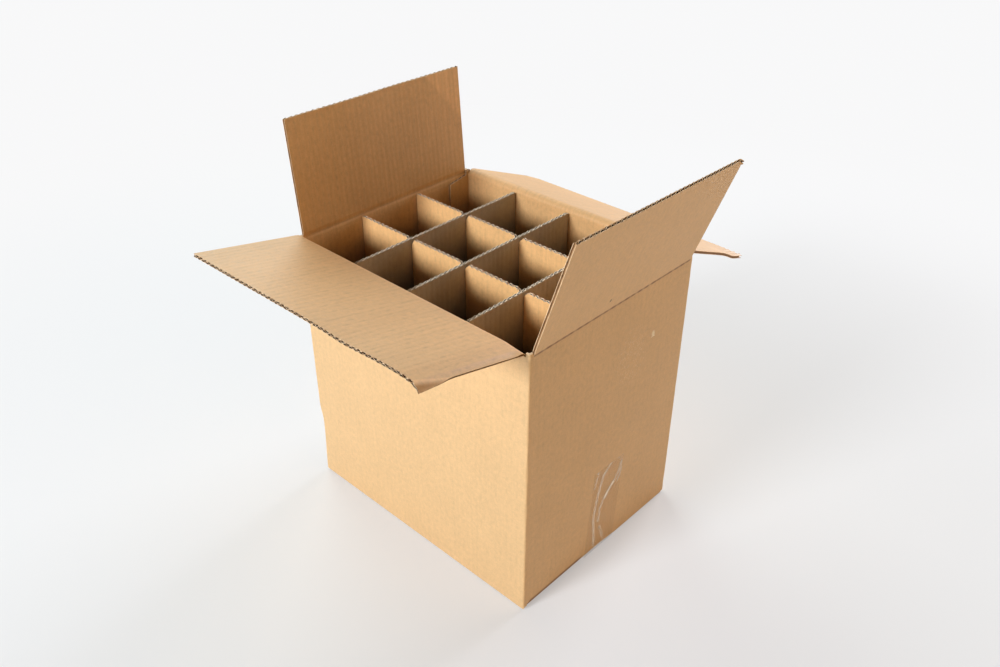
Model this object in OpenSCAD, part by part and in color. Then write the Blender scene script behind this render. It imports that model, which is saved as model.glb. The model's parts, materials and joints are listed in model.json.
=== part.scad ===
// Bottle shipping box: an open slotted carton of corrugated board with a divider of twelve cells.
// X runs along the long side, Y along the short side and Z up.
// The origin is under the middle of the base, and the front is the side at -Y.

/* [Carton] */
// outside length, mm
box_length = 312; // [240:1:460]
// outside width, mm
box_width = 240; // [190:1:360]
// height from the base to the folds of the long top flaps, mm
box_height = 309; // [220:1:420]
// thickness of the carton's board, mm
board_t = 3; // [2.4:0.1:5]
// room between a flap's end and the wall that it passes, mm
flap_side_gap = 2; // [0.5:0.1:6]
// gap where two long flaps meet, mm
flap_meeting_gap = 1; // [0.4:0.1:6]
// slit along each top fold, mm
fold_gap = 0.3; // [0.1:0.05:0.8]
// gap between flaps that lie on each other, mm
layer_gap = 0.3; // [0.1:0.05:1]
// width of the glued tab at the rear left corner, mm
tab_width = 29; // [20:1:50]
// fall of the tab's sloping ends, mm
tab_slope = 5; // [2:1:20]
// room between the tab's ends and the flaps that fold over them, mm
tab_end_gap = 1; // [0.5:0.1:6]

/* [Fluting] */
// distance from flute to flute, mm
flute_pitch = 6.5; // [5:0.1:9]
// thickness of each facing sheet, mm
liner_t = 0.45; // [0.3:0.05:0.7]
// thickness of the fluted sheet, mm
medium_t = 0.4; // [0.25:0.05:0.6]
// width of the board that is crushed beside a top fold, mm
score_w = 4; // [2:0.5:12]
// depth of the open flutes in the tab's upper end, mm
tab_flute_depth = 40; // [10:1:100]

/* [Top flap angles from shut] */
// opening of the front flap, degrees
front_open = 168.5; // [0:0.5:255]
// opening of the rear flap, degrees
rear_open = 204; // [0:0.5:255]
// opening of the left flap, degrees
left_open = 94.5; // [0:0.5:255]
// opening of the right flap, degrees
right_open = 109; // [0:0.5:255]

/* [Bent corner of the front flap] */
// reach of the bend along the flap's free edge, mm
ear_along_edge = 10; // [5:1:60]
// reach of the bend along the flap's end, mm
ear_along_end = 38; // [10:1:60]
// angle of the bend, degrees
ear_bend = 35; // [5:1:60]

/* [Divider] */
// thickness of the divider's board, mm
divider_t = 3; // [2.4:0.1:5]
// room between the divider and the shut short flaps, mm
divider_top_gap = 0.4; // [0.3:0.1:60]
// room between a strip's end and the wall, mm
divider_end_gap = 0.9; // [0.3:0.1:4]
// total side room of a strip in a slot, mm
slot_gap = 0.6; // [0.3:0.1:2]
// width of the flare on each side of a slot's mouth, mm
mouth_w = 5; // [1:0.5:9]
// depth of the flare of a slot's mouth, mm
mouth_h = 6; // [1:0.5:12]

/* [Tape] */
// width of the tape, mm
tape_width = 48; // [20:1:80]
// thickness of the tape with its glue, mm
tape_t = 0.08; // [0.05:0.01:0.3]
// height that the tape reaches up the short walls, mm
tape_rise = 112; // [20:1:150]
// size of the tape's turn round the bottom edge, mm
tape_turn = 1.5; // [0.5:0.1:2]

/* [Hidden] */
$fn = 64;
board_color = [0.80, 0.62, 0.42];
divider_color = [0.74, 0.56, 0.36];
tape_color = [0.93, 0.88, 0.78, 0.5];
// overrun of a shape past the face that it cuts or joins
cut_over = 1;

// a flap's length and the setback of its ends from the carton's corners
flap_length = (box_width - flap_meeting_gap) / 2;
end_inset = board_t + flap_side_gap;
// the rear wall stops where its fold into the glued tab begins
joint_inset = max(end_inset, 2 * board_t);

// folds: the short walls are one board shorter at each end, so their flaps lie inside the long ones
short_low = board_t + layer_gap;
short_high = box_height - board_t - layer_gap;
post_low = board_t / 2;
post_high = box_height - board_t / 2;
tab_low = short_low + board_t + tab_end_gap;
tab_high = short_high - board_t - tab_end_gap;

// divider: the strips stand on the short bottom flaps and end below the shut short top flaps
floor_z = short_low + board_t;
strip_top = short_high - board_t - divider_top_gap;
strip_mid = (floor_z + strip_top) / 2;
inner_length = box_length - 2 * board_t;
inner_width = box_width - 2 * board_t;
cell_length = inner_length / 4;
cell_width = inner_width / 3;
slot_w = divider_t + slot_gap;

// where a flap's open flutes begin, measured from its fold
flute_start = board_t + fold_gap / 2 + score_w;

// one open flute against the first facing sheet, and one against the other
function low_flute(x, thick) = [
    [x + medium_t, liner_t],
    [x + flute_pitch - medium_t, liner_t],
    [x + flute_pitch / 2, thick - liner_t - medium_t]
];
function high_flute(x, thick) = [
    [x + flute_pitch / 2 + medium_t, thick - liner_t],
    [x + flute_pitch, liner_t + medium_t],
    [x + 1.5 * flute_pitch - medium_t, thick - liner_t]
];

// all the open flutes across a board of one width, low and high in turn
function flute_count(width) = floor((width - 2 * medium_t) / flute_pitch);
function flute_origin(width) = (width - flute_count(width) * flute_pitch) / 2;
function flutes(width, thick) = [
    for (i = [0:2 * flute_count(width) - 2])
        let (x = flute_origin(width) + floor(i / 2) * flute_pitch)
        i % 2 == 0 ? low_flute(x, thick) : high_flute(x, thick)
];

// cross section of corrugated board: two facing sheets with a fluted sheet between them
module board_section(width, thick) {
    holes = flutes(width, thick);
    outline = [[0, 0], [width, 0], [width, thick], [0, thick]];
    polygon(
        points = concat(outline, [for (hole = holes) each hole]),
        paths = concat([[0, 1, 2, 3]], [for (i = [0:len(holes) - 1]) [3 * i + 4, 3 * i + 5, 3 * i + 6]])
    );
}

// quarter disc that rounds the outside of a fold, with the fold's inner corner at the origin
module fold_quarter() {
    intersection() {
        circle(board_t);
        translate([-board_t, -board_t]) square(board_t);
    }
}

// a wall in section, from its bottom flap to the mitre of its top fold, with its outer face at x = 0
module wall_profile(z_low, z_high) {
    mitre = z_high - fold_gap / 2;
    polygon([
        [0, z_low + board_t],
        [board_t, z_low + board_t],
        [board_t, mitre - board_t],
        [0, mitre]
    ]);
    translate([board_t, z_low + board_t]) fold_quarter();
    translate([board_t, z_low]) square([flap_length - board_t, board_t]);
}

// stands a section along one side: 0 front, 1 right, 2 rear, 3 left
module along_side(side, reach, from, to) {
    rotate([0, 0, 90 * side])
        translate([from, -reach, 0])
        rotate([90, 0, 90])
        linear_extrude(to - from) children();
}

// the upright fold between two walls, at the front left corner
module corner_post() {
    translate([-box_length / 2, -box_width / 2, post_low])
        linear_extrude(post_high - post_low) {
            translate([board_t, board_t]) fold_quarter();
            translate([board_t, 0]) square([end_inset - board_t, board_t]);
            translate([0, board_t]) square([board_t, end_inset - board_t]);
        }
}

// the rear left corner, where the rear wall's tab is glued inside the left wall's cut end
module glued_corner() {
    left = -box_length / 2;
    rear = box_width / 2;
    translate([left, rear - end_inset, post_low])
        cube([board_t, end_inset - tab_end_gap, post_high - post_low]);
    translate([left, 0, tab_low])
        linear_extrude(tab_high - tab_low) {
            translate([2 * board_t, rear - board_t]) mirror([0, 1]) fold_quarter();
            translate([2 * board_t, rear - board_t]) square([joint_inset - 2 * board_t + cut_over, board_t]);
        }
    translate([left + board_t, rear - board_t, 0])
        difference() {
            rotate([90, 0, 90])
                linear_extrude(board_t)
                polygon([
                    [0, tab_low],
                    [0, tab_high],
                    [-tab_width, tab_high - tab_slope],
                    [-tab_width, tab_low + tab_slope]
                ]);
            translate([0, 0, tab_high - tab_flute_depth])
                rotate([0, 0, -90])
                linear_extrude(tab_flute_depth + cut_over)
                for (hole = flutes(tab_width, board_t)) polygon(hole);
        }
}

module box_body() {
    long_end = box_length / 2 - end_inset;
    short_end = box_width / 2 - end_inset;
    color(board_color)
        difference() {
            union() {
                along_side(0, box_width / 2, -long_end, long_end) wall_profile(0, box_height);
                along_side(2, box_width / 2, -long_end, box_length / 2 - joint_inset)
                    wall_profile(0, box_height);
                for (side = [1, 3])
                    along_side(side, box_length / 2, -short_end, short_end)
                        wall_profile(short_low, short_high);
                corner_post();
                mirror([1, 0, 0]) corner_post();
                mirror([1, 0, 0]) mirror([0, 1, 0]) corner_post();
                glued_corner();
            }
            translate([-box_length / 2, -tape_width / 2, -cut_over])
                cube([box_length, tape_width, tape_t + cut_over]);
        }
}

// a top flap standing straight up from its fold, with its outer face at y = 0
module flap_blank(width) {
    translate([0, 0, flute_start])
        linear_extrude(flap_length - flute_start) board_section(width, board_t);
    rotate([90, 0, 90])
        linear_extrude(width)
        polygon([
            [0, fold_gap / 2],
            [board_t, fold_gap / 2 + board_t],
            [board_t, flute_start],
            [0, flute_start]
        ]);
}

// turns a flap at its fold: 0 degrees is shut, 90 straight up and 180 flat outwards
module flap_on_side(side, reach, fold_z, from, angle) {
    rotate([0, 0, 90 * side])
        translate([from, -reach, fold_z])
        rotate([angle - 90, 0, 0]) children();
}

// bends the corner at a flap's far end outwards, about a crease on its inner face
module bent_corner(width) {
    crease = norm([ear_along_edge, ear_along_end]);
    slant = atan2(ear_along_end, ear_along_edge);
    foot = ear_along_edge * cos(slant);
    tip = ear_along_edge * sin(slant);
    difference() {
        children();
        translate([width, -cut_over, flap_length])
            rotate([-90, 0, 0])
            linear_extrude(board_t + 2 * cut_over)
            polygon([
                [-ear_along_edge, 0],
                [0, ear_along_end],
                [ear_along_edge, 0],
                [0, -ear_along_end]
            ]);
    }
    translate([width - ear_along_edge, board_t, flap_length])
        rotate([0, slant, 0])
        rotate([ear_bend, 0, 0])
        rotate([90, 0, 0])
        linear_extrude(board_t)
        polygon([[0, 0], [crease, 0], [foot, tip]]);
}

module front_flap() {
    width = box_length - 2 * end_inset;
    color(board_color)
        flap_on_side(0, box_width / 2, box_height, -width / 2, front_open)
        bent_corner(width) flap_blank(width);
}

module rear_flap() {
    width = box_length - end_inset - joint_inset;
    color(board_color)
        flap_on_side(2, box_width / 2, box_height, end_inset - box_length / 2, rear_open)
        flap_blank(width);
}

module short_flap(side, angle) {
    width = box_width - 2 * end_inset;
    color(board_color)
        flap_on_side(side, box_length / 2, short_high, -width / 2, angle)
        flap_blank(width);
}

module left_flap() {
    short_flap(3, left_open);
}

module right_flap() {
    short_flap(1, right_open);
}

// a divider strip along X, centred, without its slots
module strip_blank(length) {
    translate([-length / 2, -divider_t / 2, floor_z])
        linear_extrude(strip_top - floor_z) board_section(length, divider_t);
}

// cuts a slot with a flared mouth from the strips' mid height to one end
module slot_cut(mouth_z) {
    way = sign(mouth_z - strip_mid);
    half = slot_w / 2;
    translate([0, divider_t / 2 + cut_over, 0])
        rotate([90, 0, 0])
        linear_extrude(divider_t + 2 * cut_over)
        polygon([
            [-half, strip_mid],
            [half, strip_mid],
            [half, mouth_z - way * mouth_h],
            [half + mouth_w, mouth_z],
            [half + mouth_w, mouth_z + way * cut_over],
            [-half - mouth_w, mouth_z + way * cut_over],
            [-half - mouth_w, mouth_z],
            [-half, mouth_z - way * mouth_h]
        ]);
}

module cross_strip(column) {
    color(divider_color)
        translate([column * cell_length, 0, 0])
        rotate([0, 0, 90])
        difference() {
            strip_blank(inner_width - 2 * divider_end_gap);
            for (row = [-0.5, 0.5]) translate([row * cell_width, 0, 0]) slot_cut(floor_z);
        }
}

module cross_strip_left() {
    cross_strip(-1);
}

module cross_strip_middle() {
    cross_strip(0);
}

module cross_strip_right() {
    cross_strip(1);
}

module long_strip(row) {
    color(divider_color)
        translate([0, row * cell_width, 0])
        difference() {
            strip_blank(inner_length - 2 * divider_end_gap);
            for (column = [-1:1]) translate([column * cell_length, 0, 0]) slot_cut(strip_top);
        }
}

module long_strip_front() {
    long_strip(-0.5);
}

module long_strip_rear() {
    long_strip(0.5);
}

// tape under the seam, turned up both short walls
module seam_tape() {
    out = box_length / 2 + tape_t;
    bend = tape_t * tan(22.5);
    half = [
        [out - tape_turn, 0],
        [out, tape_turn],
        [out, tape_rise],
        [out - tape_t, tape_rise],
        [out - tape_t, tape_turn + bend],
        [out - tape_turn - bend, tape_t]
    ];
    other_half = [for (i = [5:-1:0]) [-half[i].x, half[i].y]];
    color(tape_color)
        translate([0, tape_width / 2, 0])
        rotate([90, 0, 0])
        linear_extrude(tape_width)
        polygon(concat(half, other_half));
}

box_body();
front_flap();
rear_flap();
left_flap();
right_flap();
cross_strip_left();
cross_strip_middle();
cross_strip_right();
long_strip_front();
long_strip_rear();
seam_tape();
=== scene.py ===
"""Bottle shipping box: an open slotted carton of corrugated kraft board with a divider of twelve cells.

The packed carton gives every place and size. Each board is rebuilt here with its two facing
sheets, the open flutes of its cut edges, its pressed folds and its wear.
"""

import json
import math

import bmesh
import bpy
import numpy as np
from bpy.props import FloatProperty, FloatVectorProperty, IntProperty, PointerProperty
from mathutils import Matrix, Vector


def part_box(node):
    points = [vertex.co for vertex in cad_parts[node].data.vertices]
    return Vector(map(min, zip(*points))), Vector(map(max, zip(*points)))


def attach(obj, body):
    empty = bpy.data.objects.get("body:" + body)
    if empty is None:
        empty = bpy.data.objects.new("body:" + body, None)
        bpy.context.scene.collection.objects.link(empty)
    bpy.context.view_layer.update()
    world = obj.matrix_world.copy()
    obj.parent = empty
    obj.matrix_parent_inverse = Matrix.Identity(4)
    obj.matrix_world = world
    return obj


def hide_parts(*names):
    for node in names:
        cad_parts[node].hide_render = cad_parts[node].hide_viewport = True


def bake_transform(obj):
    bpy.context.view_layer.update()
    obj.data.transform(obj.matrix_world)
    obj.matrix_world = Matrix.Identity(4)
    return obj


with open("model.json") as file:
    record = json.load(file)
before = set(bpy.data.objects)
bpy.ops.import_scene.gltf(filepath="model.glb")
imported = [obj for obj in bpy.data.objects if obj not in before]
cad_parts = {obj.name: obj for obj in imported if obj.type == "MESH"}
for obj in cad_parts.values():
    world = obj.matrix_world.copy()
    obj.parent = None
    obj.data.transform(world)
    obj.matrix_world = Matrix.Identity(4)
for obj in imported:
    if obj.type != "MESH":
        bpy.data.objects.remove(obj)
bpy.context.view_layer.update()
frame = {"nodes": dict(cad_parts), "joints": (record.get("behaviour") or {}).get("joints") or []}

bl_info = {
    "name": "Bottle Shipping Box",
    "version": (1, 0, 0),
    "blender": (4, 5, 0),
    "location": "View3D > Sidebar > Bottle Box",
    "description": "Dresses the packed carton, its flaps, divider and tape as worn corrugated board",
    "category": "Add Mesh",
}

MM = 0.001

# The four sides, counted in quarter turns from the front
SIDES = {"front": 0, "right": 1, "rear": 2, "left": 3}
SHORT_SIDES = ("right", "left")
JOINTS = {joint["child"]: joint for joint in frame["joints"]}
HALF_LENGTH = JOINTS["right_flap"]["pos_m"][0]
HALF_WIDTH = JOINTS["rear_flap"]["pos_m"][1]
LONG_FOLD = JOINTS["front_flap"]["pos_m"][2]
SHORT_FOLD = JOINTS["left_flap"]["pos_m"][2]
# Height of the long bottom flaps above the floor, which leaves room for the tape
BASE_LIFT = 0.1 * MM


def node_points(node):
    """The vertices of a CAD node as an array."""
    return np.array([vertex.co for vertex in frame["nodes"][node].data.vertices])


def side_reach(side):
    """Distance from the carton's middle to the outer face of a side."""
    return HALF_LENGTH if side in SHORT_SIDES else HALF_WIDTH


def fold_height(side):
    """Height of the top fold of a side."""
    return SHORT_FOLD if side in SHORT_SIDES else LONG_FOLD


def low_fold(side):
    """Height of the outer face of a side's bottom flap."""
    return LONG_FOLD - SHORT_FOLD if side in SHORT_SIDES else BASE_LIFT


def wall_height(side):
    """Height of a wall from its bottom fold to its top fold."""
    return fold_height(side) - low_fold(side)


def side_turn(side):
    """Cosine and sine of the turn from the front to a side."""
    return [(1, 0), (0, 1), (-1, 0), (0, -1)][SIDES[side]]


def side_point(side, across, inward, height):
    """Points given along a side, inwards from its outer face and upwards."""
    cos, sin = side_turn(side)
    out = inward - side_reach(side)
    x = across * cos - out * sin
    y = across * sin + out * cos
    return np.stack(np.broadcast_arrays(x, y, height), axis=-1)


def rest_turn(side):
    """Angle by which a top flap leans out from its wall at rest."""
    return math.radians(-JOINTS[side + "_flap"]["range_deg"][0] - 90)


def flap_measures(side):
    """Ends of a flap along its fold, its length and its thickness, all read from its CAD node."""
    cos, sin = side_turn(side)
    turn = rest_turn(side)
    points = node_points(side + "_flap")
    across = points[:, 0] * cos + points[:, 1] * sin
    inward = points[:, 1] * cos - points[:, 0] * sin + side_reach(side)
    height = points[:, 2] - fold_height(side)
    length = height * math.cos(turn) - inward * math.sin(turn)
    depth = height * math.sin(turn) + inward * math.cos(turn)
    return across.min(), across.max(), length.max(), depth.max()


# Sizes of the carton's panels, corner posts and glued tab, most of them from the CAD flaps
LEFT_END, LEFT_END_TO, FLAP_LENGTH, BOARD = flap_measures("left")
FRONT_END, FRONT_END_TO = flap_measures("front")[:2]
REAR_END, REAR_END_TO = flap_measures("rear")[:2]
CORNER_LEG = HALF_LENGTH - FRONT_END_TO
POST_LOW = BOARD / 2
POST_HIGH = LONG_FOLD - 2.5 * MM
WALL_TOP = SHORT_FOLD - 12 * MM
TAB_TOP = SHORT_FOLD - BOARD - 1 * MM
TAB_BOTTOM = LONG_FOLD - SHORT_FOLD + BOARD + 1 * MM
TAB_WIDTH = 29 * MM
TAB_SLOPE = 5 * MM
PANEL_ENDS = {
    "front": (FRONT_END, FRONT_END_TO),
    "right": (LEFT_END, LEFT_END_TO),
    "rear": (REAR_END, REAR_END_TO),
    "left": (LEFT_END, LEFT_END_TO),
}
# Middle of each side on the carton's flat blank
BLANK_MIDDLE = {
    "front": 0.0,
    "right": HALF_LENGTH + HALF_WIDTH,
    "rear": 2 * (HALF_LENGTH + HALF_WIDTH),
    "left": -HALF_LENGTH - HALF_WIDTH,
}
# The inner face of a board lies this far off its outer face in the board's own coordinates
INNER_SHIFT = np.array([2.0, 0.0])
# Heights between which painted shade darkens the boards inside down the cells
PAINTED_SHADE_START = 290 * MM
PAINTED_SHADE_END = 225 * MM
# How strongly the flutes show through the papers, and how much painted shade darkens the papers inside down
# the cells
OUTSIDE_LINES = 0.04
INSIDE_LINES = 0.105
DIVIDER_LINES = 0.09
INSIDE_PAINTED_SHADE = 0.66
DIVIDER_PAINTED_SHADE = 0.86
# Roughness of bare fibres at a cut or tear, and inside the flutes
RAW_ROUGHNESS = 0.85
HOLLOW_ROUGHNESS = 0.9
# Finishes of a board: its two faces, its cut rims and the insides of its open flutes, painted near black as
# shade
OUTSIDE, INSIDE, CUT, SHADED_HOLLOW = range(4)
# Length of the uneven steps along a cut edge
ROUGH_LENGTH = 3 * MM
# Painted shade on the cut rims of the long flaps, and painted shade and highlight on the divider's rims: how
# dark they are, and how much that differs along a flute
LONG_RIM_PAINTED_SHADE = (1.3, 0.2)
STRIP_RIM_PAINTED_LIGHT = (0.1, 0.8)


class BoardSettings(bpy.types.PropertyGroup):
    """Sizes of the corrugated board."""

    flute_pitch: FloatProperty(
        name="Flute pitch", description="Distance from flute to flute", default=6.5 * MM, unit="LENGTH")
    liner: FloatProperty(
        name="Facing sheet", description="Thickness of each facing sheet", default=0.48 * MM, unit="LENGTH")
    medium: FloatProperty(
        name="Fluted sheet", description="Thickness of the fluted sheet", default=0.55 * MM, unit="LENGTH")
    flute_depth: FloatProperty(
        name="Flute depth", description="Depth to which the cut flutes are open",
        default=12 * MM, unit="LENGTH")
    flute_columns: IntProperty(
        name="Columns", description="Columns of faces in one flute", default=10)
    wash_inside: FloatProperty(
        name="Washboard inside", description="Sag of the inner face between flutes",
        default=0.09 * MM, unit="LENGTH")
    wash_outside: FloatProperty(
        name="Washboard outside", description="Sag of the outer face between flutes",
        default=0.03 * MM, unit="LENGTH")
    edge_groove: FloatProperty(
        name="Edge groove", description="Depth of the gap between the facing sheets at an end",
        default=1.6 * MM, unit="LENGTH")
    edge_rough: FloatProperty(
        name="Edge roughness", description="Unevenness of a cut edge", default=0.24 * MM, unit="LENGTH")
    edge_tooth: FloatProperty(
        name="Edge teeth", description="Teeth that the flutes leave along a cut edge",
        default=0.35 * MM, unit="LENGTH")
    long_fold_reach: FloatProperty(
        name="Long fold reach", description="Board that a long flap's fold bends on each side of its line",
        default=3.5 * MM, unit="LENGTH")
    short_fold_reach: FloatProperty(
        name="Short fold reach", description="Board that a short flap's fold bends on each side of its line",
        default=2.0 * MM, unit="LENGTH")
    score_width: FloatProperty(
        name="Score width", description="Half width of the pressed line along a fold",
        default=3.2 * MM, unit="LENGTH")
    score_crush: FloatProperty(
        name="Score crush", description="Share of the thickness lost along a fold",
        default=0.38, subtype="FACTOR")
    wall_bulge: FloatProperty(
        name="Wall bulge", description="Outward bow of a wall at its middle",
        default=1.0 * MM, unit="LENGTH")


class WearSettings(bpy.types.PropertyGroup):
    """Bends and marks that the carton has picked up."""

    ear_along_edge: FloatProperty(
        name="Ear along edge", description="Reach of the front flap's bent corner along its free edge",
        default=8 * MM, unit="LENGTH")
    ear_along_end: FloatProperty(
        name="Ear along end", description="Reach of the front flap's bent corner along its end",
        default=34 * MM, unit="LENGTH")
    ear_bend: FloatProperty(
        name="Ear bend", description="Angle of the front flap's bent corner",
        default=math.radians(34), subtype="ANGLE")
    near_droop: FloatProperty(
        name="Near droop", description="Droop of the front flap's near end",
        default=2.4 * MM, unit="LENGTH")
    rim_sag: FloatProperty(
        name="Rim sag", description="How far the worn rims sit below their folds",
        default=2.0 * MM, unit="LENGTH")
    rear_sag: FloatProperty(
        name="Rear sag", description="Further sag of the rear rim towards the left",
        default=1.8 * MM, unit="LENGTH")
    front_twist: FloatProperty(
        name="Front twist", description="Rise of the front flap's free edge towards its near end",
        default=2.2 * MM, unit="LENGTH")
    front_wave: FloatProperty(
        name="Front wave", description="Dip in the front flap's free edge", default=1.6 * MM, unit="LENGTH")
    right_twist: FloatProperty(
        name="Right twist", description="Lean of the right flap's free edge towards its rear end",
        default=1.4 * MM, unit="LENGTH")
    corner_nub: FloatProperty(
        name="Torn nub", description="Size of the torn corner of the right flap",
        default=6.5 * MM, unit="LENGTH")
    rear_ear: FloatProperty(
        name="Rear ear", description="Reach of the rear flap's bent left corner",
        default=11 * MM, unit="LENGTH")
    rear_crush: FloatProperty(
        name="Rear crush", description="Depth to which the rear flap's right corner is crushed",
        default=1.1 * MM, unit="LENGTH")
    edge_dent: FloatProperty(
        name="Edge dents", description="Depth of the dents along the upright edges",
        default=0.7 * MM, unit="LENGTH")
    left_knock: FloatProperty(
        name="Left knock", description="Depth of the knock low in the front left upright edge",
        default=2.0 * MM, unit="LENGTH")
    foot_sag: FloatProperty(
        name="Foot sag", description="Sag of the right wall's foot behind the tape",
        default=2.7 * MM, unit="LENGTH")
    chip_height: FloatProperty(
        name="Chip height", description="Height of the torn chip on the right wall",
        default=5.6 * MM, unit="LENGTH")
    tape_skew: FloatProperty(
        name="Tape skew", description="Shift of the tape's end towards the rear",
        default=6 * MM, unit="LENGTH")


class ColourSettings(bpy.types.PropertyGroup):
    """Colours of the papers and the tape."""

    outside: FloatVectorProperty(
        name="Outside", description="Outer facing sheet of the carton",
        default=(0.665, 0.424, 0.203), subtype="COLOR")
    inside: FloatVectorProperty(
        name="Inside", description="Inner facing sheet of the carton",
        default=(0.665, 0.390, 0.170), subtype="COLOR")
    # The long and cross strips are one board: the long strips' lighter colour is painted light, the cross
    # strips' darker, greyer colour is painted shade and sheen
    long_strip: FloatVectorProperty(
        name="Long strips", description="Faces of the divider's long strips",
        default=(0.800, 0.470, 0.200), subtype="COLOR")
    cross_strip: FloatVectorProperty(
        name="Cross strips", description="Faces of the divider's cross strips",
        default=(0.450, 0.350, 0.245), subtype="COLOR")
    carton_rims: FloatVectorProperty(
        name="Carton rims", description="Raw rims of the carton's sheets",
        default=(0.780, 0.560, 0.350), subtype="COLOR")
    # The divider's rims are raw fibre, paler than the faces, raised further as a painted highlight on the
    # top edges
    divider_rims: FloatVectorProperty(
        name="Divider rims", description="Raw rims of the divider's sheets",
        default=(0.950, 0.820, 0.640), subtype="COLOR")
    # The open flutes' insides are the same kraft paper, painted near black: painted shade
    hollow: FloatVectorProperty(
        name="Flute", description="Insides of the open flutes",
        default=(0.070, 0.040, 0.022), subtype="COLOR")
    torn: FloatVectorProperty(
        name="Torn paper", description="Bare fibres where the facing sheet is torn",
        default=(1.0, 0.86, 0.66), subtype="COLOR")
    film: FloatVectorProperty(
        name="Tape film", description="Clear tape over the board",
        default=(0.560, 0.350, 0.180), subtype="COLOR")


class StageSettings(bpy.types.PropertyGroup):
    """Camera, lamps and floor."""

    camera_azimuth: FloatProperty(
        name="Azimuth", description="Turn of the camera from the front to the right",
        default=math.radians(43.0), subtype="ANGLE")
    camera_elevation: FloatProperty(
        name="Elevation", description="Angle of the camera above the floor",
        default=math.radians(32.9), subtype="ANGLE")
    camera_roll: FloatProperty(
        name="Roll", description="Tilt of the picture", default=math.radians(0.264), subtype="ANGLE")
    camera_distance: FloatProperty(
        name="Distance", description="Distance from the camera to the point it looks at",
        default=1.1, unit="LENGTH")
    camera_target: FloatVectorProperty(
        name="Target", description="Point that the camera looks at",
        default=(-0.0611, 0.0769, 0.1392), subtype="XYZ")
    camera_lens: FloatProperty(
        name="Lens", description="Focal length on a 36 mm sensor", default=33.69)
    key_power: FloatProperty(
        name="Key power", description="Power of the lamp at the front", default=96.0, subtype="POWER")
    key_colour: FloatVectorProperty(
        name="Key colour", description="Colour of the lamp at the front",
        default=(0.91, 0.96, 1.0), subtype="COLOR")
    back_power: FloatProperty(
        name="Back power", description="Power of the broad light from behind",
        default=94.0, subtype="POWER")
    back_colour: FloatVectorProperty(
        name="Back colour", description="Colour of the light from behind",
        default=(0.97, 0.96, 1.0), subtype="COLOR")
    sheen_power: FloatProperty(
        name="Sheen power", description="Power of the light from the left", default=33.0, subtype="POWER")
    sheen_colour: FloatVectorProperty(
        name="Sheen colour", description="Colour of the light from the left",
        default=(0.90, 1.0, 0.94), subtype="COLOR")
    side_power: FloatProperty(
        name="Side power", description="Power of the warm lamp at the right", default=16.5, subtype="POWER")
    side_colour: FloatVectorProperty(
        name="Side colour", description="Colour of the lamp at the right",
        default=(1.0, 0.64, 0.22), subtype="COLOR")
    floor_colour: FloatVectorProperty(
        name="Floor", description="Colour of the floor", default=(0.81, 0.81, 0.83), subtype="COLOR")
    backdrop_colour: FloatVectorProperty(
        name="Backdrop", description="Colour that the floor fades to behind the box",
        default=(0.94, 0.94, 0.945), subtype="COLOR")


def smooth(value):
    """Eases from 0 to 1, flat at both ends."""
    value = np.clip(value, 0.0, 1.0)
    return value * value * (3.0 - 2.0 * value)


def bell(distance, width):
    """A soft hump of height 1."""
    return np.exp(-(distance / width) ** 2)


def waver(along, seed, wavelength, terms=5):
    """An uneven seeded wave of about unit height."""
    random = np.random.default_rng(seed)
    waves = 2 * math.pi / (wavelength * random.uniform(0.5, 1.6, terms))
    phases = random.uniform(0, 2 * math.pi, terms)
    total = sum(np.sin(np.asarray(along) * wave + phase) for wave, phase in zip(waves, phases))
    return total / math.sqrt(terms)


def even_columns(start, end, spacing):
    """Places from start to end, about spacing apart."""
    return np.linspace(start, end, max(2, round((end - start) / spacing) + 1))


class Sheet:
    """Gathers grids of points into one mesh, with board coordinates, creases and painted light, and a finish
    for each face.
    """

    def __init__(self):
        self.points = []
        self.flat = []
        self.creases_and_painted_light = []
        self.faces = []
        self.finishes = []
        self.count = 0

    def add(self, points, flat, finish, crease=0.0):
        """Adds a grid of rows by columns of points, with their places on the flat board."""
        rows, columns = points.shape[:2]
        index = np.arange(rows * columns).reshape(rows, columns) + self.count
        corners = [index[:-1, :-1], index[:-1, 1:], index[1:, 1:], index[1:, :-1]]
        faces = np.stack(corners, axis=-1).reshape(-1, 4)
        self.points.append(points.reshape(-1, 3))
        self.flat.append(np.broadcast_to(flat, (rows, columns, 2)).reshape(-1, 2))
        self.creases_and_painted_light.append(np.broadcast_to(crease, (rows, columns)).ravel())
        self.faces.append(faces)
        self.finishes.append(np.full(len(faces), finish))
        self.count += rows * columns

    def strip(self, *lines, flat, finish, crease=0.0):
        """Adds the bands between lines of points that run side by side."""
        self.add(np.stack(lines), np.stack([flat] * len(lines)), finish, crease)

    def build(self, name, materials):
        """Makes the object, welded, with outward normals and crisp corners."""
        weld_distance = 2e-6
        crisp_angle = math.radians(38)
        faces = np.concatenate(self.faces)
        flat = np.concatenate(self.flat)[faces.reshape(-1)]
        mesh = bpy.data.meshes.new(name)
        mesh.from_pydata(np.concatenate(self.points).tolist(), [], faces.tolist())
        mesh.uv_layers.new(name="flat_board").data.foreach_set("uv", flat.astype(np.float32).ravel())
        creases_and_painted_light = mesh.attributes.new("crease", "FLOAT", "POINT")
        creases_and_painted_light.data.foreach_set("value", np.concatenate(self.creases_and_painted_light).astype(np.float32))
        mesh.polygons.foreach_set("material_index", np.concatenate(self.finishes).astype(np.int32))
        for material in materials:
            mesh.materials.append(material)
        editable = bmesh.new()
        editable.from_mesh(mesh)
        bmesh.ops.remove_doubles(editable, verts=editable.verts, dist=weld_distance)
        bmesh.ops.recalc_face_normals(editable, faces=editable.faces)
        editable.to_mesh(mesh)
        editable.free()
        mesh.shade_smooth()
        mesh.set_sharp_from_angle(angle=crisp_angle)
        piece = bpy.data.objects.new(name, mesh)
        bpy.context.scene.collection.objects.link(piece)
        return piece


def flute_wave(across, board):
    """Rise and fall of the fluted sheet across a board."""
    return np.sin(2 * math.pi * across / board.flute_pitch)


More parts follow.
